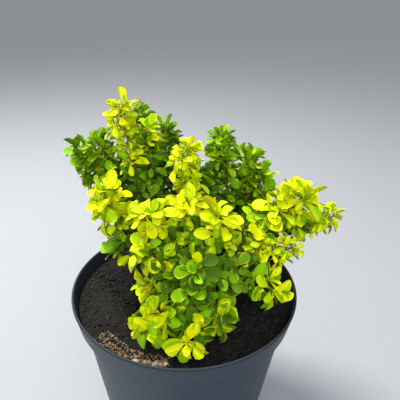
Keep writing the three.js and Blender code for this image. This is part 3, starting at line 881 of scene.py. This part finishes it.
class Crown:
    """Grows the shoots, side twigs, spines and leaves, one mass after another."""

    def __init__(self, settings, level):
        self.settings = settings
        self.level = level
        self.spaces = Spaces()
        self.twigs = Shell()
        self.spines = Shell()
        self.leaves = {tint: Leaves() for tint in TINT_CHANCES}

    def wander(self, width):
        """A chance turn or change, up to half the width to either side."""
        return width * (next(self.random) - 0.5)

    def within(self, low, high):
        """A chance number between two."""
        return blend(low, high, next(self.random))

    def grow(self, at):
        """The solids' rule with finer steps: a shoot from foot to tip, with leafy nodes up it."""
        self.at = at
        self.mass = mass = MASSES[at]
        self.random = seeded_numbers(mass.seed)
        self.longest = mass.leaf * blend(self.settings.largest_young, self.settings.largest, mass.breadth)
        span = (mass.tip - mass.foot).length
        count = round(span / NODE_SPACING * FINER_NODES * USUAL_LONGEST / self.longest)
        side, level = crossing(mass.axis)
        turn = self.within(0, math.tau)
        route = Route(mass.foot, mass.tip, steps=12)
        radii = (SHOOT_RADIUS, SHOOT_TIP_RADIUS)
        self.twigs.add(*tube(route, lambda share: blend(*radii, share), sides=6, steps=count))
        for _ in range(FOOT_TWIGS):
            outward = around(side, level, turn)
            heading = (outward - mass.axis * FOOT_TWIG_FALL).normalized()
            reach = mass.radii[0] * self.within(*FOOT_TWIG_REACH)
            self.twig(mass.foot, heading, reach)
            self.rosette(mass.foot + heading * reach, heading, FASCICLE_LEAVES, 0)
            turn += GOLDEN_ANGLE
        for node in range(count):
            share = (node + FIRST_NODE) / count
            turn += GOLDEN_ANGLE
            outward = around(side, level, turn)
            rise = self.within(*LEAF_RISE)
            root = route.at(share)
            long_twig = node % SIDE_TWIG_EVERY == 1 and node < count - 1
            lean = SPUR_RISE if long_twig else math.tan(rise * FASCICLE_RISE)
            heading = (outward + mass.axis * lean).normalized()
            reaches = SIDE_TWIG_REACH if long_twig else FASCICLE_REACH
            reach = blend(*mass.radii, share) * self.within(*reaches)
            end = root + heading * reach
            self.twig(root, heading, reach)
            if long_twig:
                self.rosette(root.lerp(end, MIDWAY), outward, MIDWAY_LEAVES, share)
                self.rosette(end, heading, ROSETTE_LEAVES - 1, share)
            else:
                self.rosette(end, heading, FASCICLE_LEAVES, share)
            self.spine(root, (heading - mass.axis * SPINE_FALL).normalized())
        self.rosette(mass.tip, mass.axis, ROSETTE_LEAVES, 1)

    def twig(self, root, heading, reach):
        """A thin twig that lifts a little towards the shoot's tip."""
        bend = root + heading * reach / 2 + self.mass.axis * reach * TWIG_LIFT
        route = Route(root, bend, root + heading * reach, steps=4)
        self.twigs.add(*tube(route, lambda share: blend(*TWIG_RADII, share), sides=5, steps=3))

    def spine(self, root, heading):
        """A slim three-sided spine."""
        length = self.within(*SPINE_LENGTHS)
        side, level = crossing(heading)
        ring = [root + around(side, level, math.tau * corner / 3) * SPINE_RADIUS for corner in range(3)]
        tip = root + heading * (SHOOT_RADIUS + length)
        self.spines.add([*ring, tip], [(0, 2, 1), (0, 1, 3), (1, 2, 3), (2, 0, 3)])

    def rosette(self, centre, heading, count, share):
        """Leaves round a twig's end: large spreading ones first, then smaller, steeper ones inside them."""
        side, level = crossing(heading)
        start = self.within(0, math.tau)
        smallest = self.settings.smallest * self.mass.leaf
        for leaf in range(count):
            inward = leaf / max(count - 1, 1)
            angle = start + leaf * GOLDEN_ANGLE + self.wander(TURN_WANDER)
            spread = math.radians(blend(*ROSETTE_SPREAD, inward)) + self.wander(SPREAD_WANDER)
            direction = around(heading, around(side, level, angle), spread)
            length = blend(self.longest, smallest, inward) * self.within(*LENGTH_SHARES)
            self.leaf(centre, direction.normalized(), heading, length, share, inward)

    def leaf(self, centre, direction, heading, length, share, inward):
        """A leaf that keeps to its mass's space and over the compost, or none where there's no room."""
        mass = self.mass
        facing = (centre - CROWN_MIDDLE).normalized() * OUTWARD + heading * TWIGWARD + mass.axis * TIPWARD
        facing.z += SKYWARD
        width = blend(self.settings.narrow, self.settings.broad, mass.breadth) * self.within(*WIDTH_SHARES)
        cup = self.settings.cup * self.within(*CUP_SHARES)
        droop = self.within(*DROOPS)
        twist = self.wander(TWIST_WANDER)
        leaves = self.leaves[mass.tint]
        for _ in range(LEAF_TRIES):
            across = direction.cross(facing)
            if across.length < EDGE_ON:
                return
            points = leaves.points_of(centre, direction, facing, length, width, cup, droop, twist)
            above = points[:, 2].min() > self.level + SOIL_GAP
            if above and self.spaces.holds(self.at, points[BLADE_FROM:], self.settings.slack):
                break
            length *= SHORTENED
            upward = Vector((0, 0, 0 if above else TURNED_UP))
            direction = (direction + mass.axis * TURNED_TIPWARD + upward).normalized()
        else:
            return
        if length < SHORTEST_LEAF * mass.leaf:
            return
        tier = self.tier(points, across.normalized().cross(direction), share, inward)
        leaves.add(points, chosen(TINT_CHANCES[mass.tint][tier], next(self.random)))

    def tier(self, points, up, share, inward):
        """Whether a leaf stands open to the sun (0), in between (1) or in the shade (2)."""
        spot = points[BROADEST]
        outer = max(1 + self.spaces.outside_by(spot[None]).min() / self.mass.radii[0], 0)
        # Leaves whose upper side faces the light side count as more open and get paler tints: partly painted
        # light
        lit = 0.5 + 0.5 * up.dot(LIGHT_SIDE)
        openness = SKY_WEIGHT * self.spaces.sky_over(spot) + OUTER_WEIGHT * outer
        openness += TIP_WEIGHT * share + LIT_WEIGHT * lit + INWARD_WEIGHT * inward
        openness += self.wander(CHANCE_WEIGHT)
        openness += blend(*OPENNESS_SHIFTS.get(self.mass.name, (0, 0)), share)
        if openness > OPEN_FROM:
            return 0
        return 1 if openness > SHADED_BELOW else 2


def placed(piece, slot_name, *nodes):
    """Lets a finished piece ride on the body and hides the nodes whose place it takes. Its slot name is not
    used.
    """
    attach(piece, "root")
    if nodes:
        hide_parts(*nodes)
    return {"FINISHED"}


def length_property(name, description, default):
    return bpy.props.FloatProperty(name=name, description=description, default=default, unit="LENGTH")


def share_property(name, description, default):
    return bpy.props.FloatProperty(name=name, description=description, default=default, subtype="FACTOR")


def power_property(name, description, default):
    return bpy.props.FloatProperty(name=name, description=description, default=default, unit="POWER")


def colour_property(name, description, code):
    return bpy.props.FloatVectorProperty(
        name=name, description=description, default=tone(code), subtype="COLOR")


class PotSettings(bpy.types.PropertyGroup):
    height: length_property("Height", "Height of the pot", 180 * MM)
    rim_radius: length_property("Rim radius", "Outer radius of the lip", 112.5 * MM)
    colour: colour_property("Plastic", "Colour of the plastic", "293540")
    dust: colour_property("Dust", "Colour of dried splashes", "8e8e86")


class CompostSettings(bpy.types.PropertyGroup):
    level: length_property("Level", "Mean height of the compost", 167 * MM)
    relief: length_property("Relief", "Height of its slow waves", 1.5 * MM)
    dark: colour_property("Damp", "Colour of damp compost", "0f0e0c")
    pale: colour_property("Dry", "Colour of dry compost", "28251f")
    dark_lump: colour_property("Dark clods", "Colour of the damp clods and crumbs", "1c1b17")
    pale_lump: colour_property("Pale crumbs", "Colour of the dry crumbs", "37322a")
    granule: colour_property("Granules", "Colour of the fired clay granules", "7f684c")
    pebble: colour_property("Pebbles", "Colour of the pebbles", "a8937a")


class LimbSettings(bpy.types.PropertyGroup):
    dark: colour_property("Fissures", "Colour of the bark's fissures", "3a2a1c")
    pale: colour_property("Ridges", "Colour of the bark's ridges", "917657")
    twig: colour_property("Young twigs", "Colour of the young twigs", "8f7a34")
    spine: colour_property("Spines", "Colour of the spines", "a5823c")
    relief: share_property("Relief", "Depth of the bark's ridges as a share of the radius", 0.1)


class LeafSettings(bpy.types.PropertyGroup):
    largest: share_property(
        "Largest", "Largest leaf of a rosette where leaves are long, as a share of their length", 1.4)
    largest_young: share_property(
        "Largest young", "The same on the young shoots, whose leaves are short", 1.1)
    smallest: share_property(
        "Smallest", "Smallest leaf of a rosette, as a share of its mass's leaf length", 0.5)
    narrow: share_property("Narrow", "Width of the shortest leaves as a share of their length", 0.46)
    broad: share_property("Broad", "Width of the longest leaves as a share of their length", 0.55)
    cup: share_property("Cup", "Rise of a leaf's sides as a share of its length", 0.13)
    slack: length_property("Slack", "How far a leaf may stand out of its mass's space", 3 * MM)
    roughness: share_property("Roughness", "Roughness of a leaf's upper skin", 0.45)


class StageSettings(bpy.types.PropertyGroup):
    floor: bpy.props.FloatVectorProperty(
        name="Floor", description="Colour of the floor", default=(0.3, 0.31, 0.33), subtype="COLOR")
    key: power_property("Key light", "Power of the soft light over the back left", 42)
    fill: power_property("Fill light", "Power of the soft light at the front", 23)
    sky: share_property("Sky", "Strength of the light from all round", 0.78)


class BARBERRY_OT_pot(bpy.types.Operator):
    """Make the nursery pot with its band, rolled lip and drainage holes"""

    bl_idname = "barberry.pot"
    bl_label = "Pot"

    def execute(self, context):
        sizes = context.scene.barberry_pot
        rim = sizes.rim_radius
        band_foot = sizes.height - BAND_DEPTH
        profile = [
            (0, 0.8 * MM),
            (69 * MM, 0.8 * MM),
            (71 * MM, 0),
            (BASE_RADIUS - 1 * MM, 0),
            (BASE_RADIUS, 2 * MM),
            (BODY_TOP_RADIUS - 0.2 * MM, band_foot - 1.2 * MM),
            (BAND_FOOT_RADIUS - 0.6 * MM, band_foot - 0.5 * MM),
            (BAND_FOOT_RADIUS + 0.1 * MM, band_foot + 0.8 * MM),
            (rim - 0.4 * MM, sizes.height - 2.6 * MM),
            (rim, sizes.height - 2 * MM),
            (rim, sizes.height - 0.4 * MM),
            (rim - 1 * MM, sizes.height),
            (rim - LIP_WIDTH + 1.2 * MM, sizes.height),
            (rim - LIP_WIDTH + 0.6 * MM, sizes.height - 0.8 * MM),
            (rim - LIP_WIDTH, sizes.height - LIP_WIDTH),
            (BAND_FOOT_RADIUS - WALL, band_foot + WALL),
            (BODY_TOP_RADIUS - WALL, band_foot + WALL - 1 * MM),
            (BASE_RADIUS - WALL, BASE_THICKNESS),
            (0, BASE_THICKNESS),
        ]
        plastic = pot_finish(sizes.colour, sizes.dust)
        corners, faces = turned(rounded(profile, 1.2 * MM), sides=180)
        pot = solid("nursery_pot", corners, faces, [plastic], math.radians(40))
        drains = Shell()
        reach = 5 * MM
        outline = [(0, -reach), (DRAIN_RADIUS, -reach), (DRAIN_RADIUS, reach), (0, reach)]
        for hole in range(DRAIN_COUNT):
            angle = math.tau * (hole + 0.5) / DRAIN_COUNT
            middle = Vector((*on_ring(DRAIN_RING_RADIUS, angle), 0))
            corners, faces = turned(outline, sides=28)
            drains.add([Vector(corner) + middle for corner in corners], faces)
        cutter = drains.piece("drains", [])
        cut = pot.modifiers.new("drains", "BOOLEAN")
        cut.object = cutter
        cut.operation = "DIFFERENCE"
        applied(context, pot, cut)
        bpy.data.objects.remove(cutter)
        return placed(pot, "pot_plastic", "pot")


def scatter_tree(name):
    """A tree that scatters small stones over a surface, with named inputs."""
    tree = bpy.data.node_groups.new(name, "GeometryNodeTree")
    tree.interface.new_socket("Geometry", in_out="INPUT", socket_type="NodeSocketGeometry")
    for socket, kind in (("Density", "Float"), ("Radius", "Float"), ("Seed", "Int"), ("Finish", "Material")):
        tree.interface.new_socket(socket, in_out="INPUT", socket_type=f"NodeSocket{kind}")
    tree.interface.new_socket("Geometry", in_out="OUTPUT", socket_type="NodeSocketGeometry")
    given = added(tree, "NodeGroupInput").outputs
    sockets = {"Mesh": given["Geometry"], "Density": given["Density"], "Seed": given["Seed"]}
    points = added(tree, "GeometryNodeDistributePointsOnFaces", sockets=sockets)
    stone = added(tree, "GeometryNodeMeshIcoSphere", sockets={"Radius": given["Radius"], "Subdivisions": 1})
    chance = {"data_type": "FLOAT_VECTOR"}
    whole_turn = (math.tau, math.tau, math.tau)
    turn = added(tree, "FunctionNodeRandomValue", chance, {"Seed": given["Seed"], 1: whole_turn})
    least, greatest = STONE_STRETCH
    sockets = {"Seed": given["Seed"], 0: least, 1: greatest}
    size = added(tree, "FunctionNodeRandomValue", chance, sockets)
    sockets = {
        "Points": points.outputs["Points"],
        "Instance": stone.outputs["Mesh"],
        "Rotation": turn.outputs["Value"],
        "Scale": size.outputs["Value"],
    }
    spread = added(tree, "GeometryNodeInstanceOnPoints", sockets=sockets)
    real = added(tree, "GeometryNodeRealizeInstances", sockets={"Geometry": spread.outputs["Instances"]})
    sockets = {"Geometry": real.outputs["Geometry"], "Material": given["Finish"]}
    dressed = added(tree, "GeometryNodeSetMaterial", sockets=sockets)
    added(tree, "NodeGroupOutput", sockets={"Geometry": dressed.outputs["Geometry"]})
    return tree


def scattered(context, name, surface, density, radius, seed, finish):
    """Stones over a surface as a plain mesh."""
    made = linked(name, surface)
    spread = made.modifiers.new("stones", "NODES")
    spread.node_group = scatter_tree(name)
    values = {"Density": density, "Radius": radius, "Seed": seed, "Finish": finish}
    for item in spread.node_group.interface.items_tree:
        if item.name in values:
            spread[item.identifier] = values[item.name]
    applied(context, made, spread)
    return made


class BARBERRY_OT_compost(bpy.types.Operator):
    """Make the compost with its clods, crumbs, clay granules and pebbles"""

    bl_idname = "barberry.compost"
    bl_label = "Compost"

    def patch(self, sizes, radii, angles, lift):
        """A mesh of the compost's face between two radii and two angles."""
        across = 12
        round_about = 40
        corners = []
        for step in range(across + 1):
            radius = blend(*radii, step / across)
            for turn in range(round_about + 1):
                angle = blend(*angles, turn / round_about)
                x, y = on_ring(radius, angle)
                height = sizes.level + soil_relief(x, y, sizes.relief) + crumbled(x, y) + lift
                corners.append((x, y, height))
        row = round_about + 1
        starts = [step * row + turn for step in range(across) for turn in range(round_about)]
        faces = [(start, start + row, start + row + 1, start + 1) for start in starts]
        return smoothed("patch", corners, faces, [], math.pi)

    def fill(self, context, sizes):
        """The compost itself, from the pot's base to its crumbled face."""
        band_foot = context.scene.barberry_pot.height - BAND_DEPTH
        inset = WALL + 1.3 * CLEARANCE
        edge = BAND_FOOT_RADIUS - inset + CLEARANCE
        profile = [
            (0, BASE_THICKNESS + CLEARANCE),
            (BASE_RADIUS - inset, BASE_THICKNESS + CLEARANCE),
            (BODY_TOP_RADIUS - inset, band_foot + WALL - 1 * MM + CLEARANCE),
            (BAND_FOOT_RADIUS - inset, band_foot + WALL + CLEARANCE),
        ]
        rings = 96
        profile += [(edge * (1 - ring / rings), sizes.level) for ring in range(rings + 1)]
        corners, faces = turned(profile, sides=300)
        top = sizes.level - 0.01 * MM
        corners = [
            (x, y, z + soil_relief(x, y, sizes.relief) + crumbled(x, y) if z > top else z)
            for x, y, z in corners
        ]
        compost = compost_finish(sizes.dark, sizes.pale)
        return solid("compost_fill", corners, faces, [compost], math.radians(89))

    def execute(self, context):
        sizes = context.scene.barberry_compost
        placed(self.fill(context, sizes), "compost", "compost")
        all_round = self.patch(sizes, CRUMB_RING, (0, math.tau), -0.1 * MM)
        dark_lump = stone_finish("dark_crumb", sizes.dark_lump)
        pale_lump = stone_finish("dry_crumb", sizes.pale_lump)
        granule = stone_finish("clay_granule", sizes.granule)
        pebble = stone_finish("pebble", sizes.pebble)
        front_left = self.patch(sizes, GRANULE_RING, GRANULE_ARC, 0.3 * MM)
        # Piece, the patch it lies on, its stones for each square metre, their radius, seed and finish
        for name, surface, density, radius, seed, finish in (
            ("dark_clods", all_round, 13000, 2.7 * MM, 15, dark_lump),
            ("dark_crumbs", all_round, 100000, 1.35 * MM, 11, dark_lump),
            ("dry_crumbs", all_round, 26000, 1.1 * MM, 12, pale_lump),
            ("stray_granules", all_round, 1500, 0.9 * MM, 13, granule),
            ("clay_granules", front_left, 230000, 1.3 * MM, 14, granule),
        ):
            placed(scattered(context, name, surface, density, radius, seed, finish), "compost")
        return placed(self.pebbles(sizes, pebble), "compost")

    def pebbles(self, sizes, finish):
        """The larger pebbles at the front left, where the solids have them."""
        random = seeded_numbers(PEBBLE_SEED)
        mesh = bmesh.new()
        for pebble in range(PEBBLE_COUNT):
            angle = blend(*PEBBLE_ARC, (pebble + next(random)) / PEBBLE_COUNT)
            ring = blend(*PEBBLE_RING, next(random))
            radius = PEBBLE_RADIUS * (0.7 + 0.5 * next(random))
            turn = Matrix.Rotation(math.tau * next(random), 4, "Z")
            x, y = on_ring(ring, angle)
            height = sizes.level + soil_relief(x, y, sizes.relief) + PEBBLE_LIFT
            shape = Matrix.Translation((x, y, height)) @ turn @ Matrix.Diagonal((*PEBBLE_SHAPE, 1))
            made = bmesh.ops.create_icosphere(mesh, subdivisions=3, radius=radius)
            for corner in made["verts"]:
                lumps = noise.noise(corner.co / MM / 1.7 + Vector((pebble * 7, 0, 0)))
                corner.co *= 1 + PEBBLE_RELIEF * lumps
                corner.co = shape @ corner.co
        for face in mesh.faces:
            face.smooth = True
        data = bpy.data.meshes.new("pebbles")
        mesh.to_mesh(data)
        mesh.free()
        data.materials.append(finish)
        return linked("pebbles", data)


class BARBERRY_OT_limbs(bpy.types.Operator):
    """Make the short woody stem and every bough, with bark relief"""

    bl_idname = "barberry.limbs"
    bl_label = "Stem and boughs"

    def execute(self, context):
        settings = context.scene.barberry_limbs
        level = context.scene.barberry_compost.level
        routes = bough_routes(level)
        shell = Shell()
        shell.add(*self.stem(settings, level))
        for at, mass in enumerate(MASSES):
            foot_radius = BOUGH_FOOT_RADIUS if mass.parent == "stem" else BRANCH_FOOT_RADIUS

            def ridge(angle, share, shift=at):
                """Low ridges along the bark, with a few rounded knuckles."""
                round_about, along = BOUGH_RIDGES
                spot = Vector((*on_ring(round_about, angle), share * along + shift * 9))
                knuckles = KNUCKLE_HEIGHT * max(math.sin(share * KNUCKLES + shift), 0) ** 6
                return settings.relief * noise.noise(spot) + knuckles

            def radius_at(share, foot_radius=foot_radius):
                return blend(foot_radius, BOUGH_TIP_RADIUS, share)

            shell.add(*tube(routes[mass.name], radius_at, sides=12, steps=22, ridge=ridge))
        bark = bark_finish(settings.dark, settings.pale)
        limbs = shell.piece("limbs", [bark], math.radians(80))
        return placed(limbs, "bark", "main_stem", *(f"bough_{mass.name}" for mass in MASSES))

    def stem(self, settings, level):
        """Corners and faces of the stem, with three faint lobes at its flare."""
        profile = [
            (0, 0),
            (STEM_FLARE_RADIUS, 0),
            (STEM_WAIST_RADIUS + 1.2 * MM, 0.18 * STEM_HEIGHT),
            (STEM_WAIST_RADIUS, 0.4 * STEM_HEIGHT),
            (STEM_HEAD_RADIUS, 0.7 * STEM_HEIGHT),
            (0.75 * STEM_HEAD_RADIUS, 0.92 * STEM_HEIGHT),
            (0, STEM_HEIGHT),
        ]
        corners, faces = turned(rounded(profile, 4 * MM, steps=6), sides=48)
        shaped = []
        for x, y, height in corners:
            angle = math.atan2(y, x)
            lobes = 1 + LOBE_DEPTH * (1 - height / STEM_HEIGHT) * math.cos(LOBE_COUNT * angle)
            spot = Vector((*on_ring(STEM_RIDGES, angle), height / STEM_RIDGE_LENGTH))
            lobes *= 1 + settings.relief * noise.noise(spot)
            shaped.append(stem_middle(height, level) + Vector((x * lobes, y * lobes, 0)))
        return shaped, faces


class BARBERRY_OT_foliage(bpy.types.Operator):
    """Grow the twigs, spines and leaves of every mass"""

    bl_idname = "barberry.foliage"
    bl_label = "Twigs and leaves"

    def execute(self, context):
        settings = context.scene.barberry_leaves
        limbs = context.scene.barberry_limbs
        crown = Crown(settings, context.scene.barberry_compost.level)
        for at in range(len(MASSES)):
            crown.grow(at)
        placed(crown.twigs.piece("twigs", [twig_finish(limbs.twig)]), "bark")
        placed(crown.spines.piece("spines", [stone_finish("spine", limbs.spine)], math.radians(30)), "bark")
        order = list(LEAF_TONES)
        materials = []
        for tint, codes in LEAF_TONES.items():
            for part, code in zip(LEAF_PARTS, codes):
                roughness = settings.roughness + (0.2 if part == "underside" else 0)
                materials.append(leaf_finish(f"{tint}_{part}", tone(code), roughness, 0.12 * MM))
        for tint, leaves in crown.leaves.items():
            piece = leaves.piece(f"{tint}_leaves", materials, order)
            nodes = [f"foliage_{mass.name}" for mass in MASSES if mass.tint == tint]
            placed(piece, f"{tint}_leaf", *nodes)
        return {"FINISHED"}


class BARBERRY_OT_stage(bpy.types.Operator):
    """Lay the floor, set the soft lights and place the camera"""

    bl_idname = "barberry.stage"
    bl_label = "Stage"

    def lamp(self, name, place, size, power, colour):
        light = bpy.data.lights.new(name, "AREA")
        light.size = size
        light.energy = power
        light.color = colour
        made = linked(name, light)
        made.location = place
        made.rotation_euler = (AIM - place).to_track_quat("-Z", "Y").to_euler()

    def execute(self, context):
        settings = context.scene.barberry_stage
        finish = Finish("floor")
        material = finish.surface(settings.floor, 0.8 + finish.cloud(60, 2) * 0.1)
        shell = Shell()
        corners = [(x * FLOOR_HALF, y * FLOOR_HALF, 0) for x, y in ((-1, -1), (1, -1), (1, 1), (-1, 1))]
        shell.add(corners, [(0, 1, 2, 3)])
        shell.piece("floor", [material])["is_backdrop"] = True
        self.lamp("key", KEY_PLACE, size=0.5, power=settings.key, colour=(1, 1, 0.96))
        self.lamp("fill", FILL_PLACE, size=1.6, power=settings.fill, colour=(0.93, 0.96, 1))
        world = bpy.data.worlds.new("soft_sky")
        world.use_nodes = True
        sky = world.node_tree.nodes["Background"]
        sky.inputs["Color"].default_value = (0.95, 0.97, 1, 1)
        sky.inputs["Strength"].default_value = settings.sky
        context.scene.world = world
        context.scene.view_settings.view_transform = "Standard"
        self.camera(context)
        return {"FINISHED"}

    def camera(self, context):
        level_up = Vector((0, math.sin(CAMERA_TILT), math.cos(CAMERA_TILT)))
        level_right = Vector((1, 0, 0))
        right = level_right * math.cos(CAMERA_ROLL) + level_up * math.sin(CAMERA_ROLL)
        up = level_up * math.cos(CAMERA_ROLL) - level_right * math.sin(CAMERA_ROLL)
        lens = bpy.data.cameras.new("camera")
        lens.angle = CAMERA_ANGLE
        lens.clip_start = 0.01
        made = linked("camera", lens)
        turn = Matrix((right, up, right.cross(up))).transposed().to_4x4()
        made.matrix_world = Matrix.Translation(CAMERA_PLACE) @ turn
        context.scene.camera = made


class BARBERRY_PT_panel(bpy.types.Panel):
    bl_label = "Barberry"
    bl_idname = "BARBERRY_PT_panel"
    bl_space_type = "VIEW_3D"
    bl_region_type = "UI"
    bl_category = "Barberry"

    def draw(self, context):
        layout = self.layout
        for group in GROUPS:
            settings = getattr(context.scene, group)
            for key in settings.bl_rna.properties.keys():
                if key not in ("rna_type", "name"):
                    layout.prop(settings, key)
        for operator in OPERATORS:
            layout.operator(operator.bl_idname)


GROUPS = {
    "barberry_pot": PotSettings,
    "barberry_compost": CompostSettings,
    "barberry_limbs": LimbSettings,
    "barberry_leaves": LeafSettings,
    "barberry_stage": StageSettings,
}
OPERATORS = (
    BARBERRY_OT_pot,
    BARBERRY_OT_compost,
    BARBERRY_OT_limbs,
    BARBERRY_OT_foliage,
    BARBERRY_OT_stage,
)


def register():
    for made in (*GROUPS.values(), *OPERATORS, BARBERRY_PT_panel):
        bpy.utils.register_class(made)
    for name, group in GROUPS.items():
        setattr(bpy.types.Scene, name, bpy.props.PointerProperty(type=group))


def unregister():
    for name in GROUPS:
        delattr(bpy.types.Scene, name)
    for made in (BARBERRY_PT_panel, *reversed(OPERATORS), *reversed(GROUPS.values())):
        bpy.utils.unregister_class(made)


def main():
    register()
    bpy.ops.barberry.stage()
    bpy.ops.barberry.pot()
    bpy.ops.barberry.compost()
    bpy.ops.barberry.limbs()
    bpy.ops.barberry.foliage()
    boxes = {
        name: [[float(side) for side in corner] for corner in box]
        for name, box in (("cad", CAD_BOX), ("visual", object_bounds()))
    }


if __name__ == "__main__":
    main()
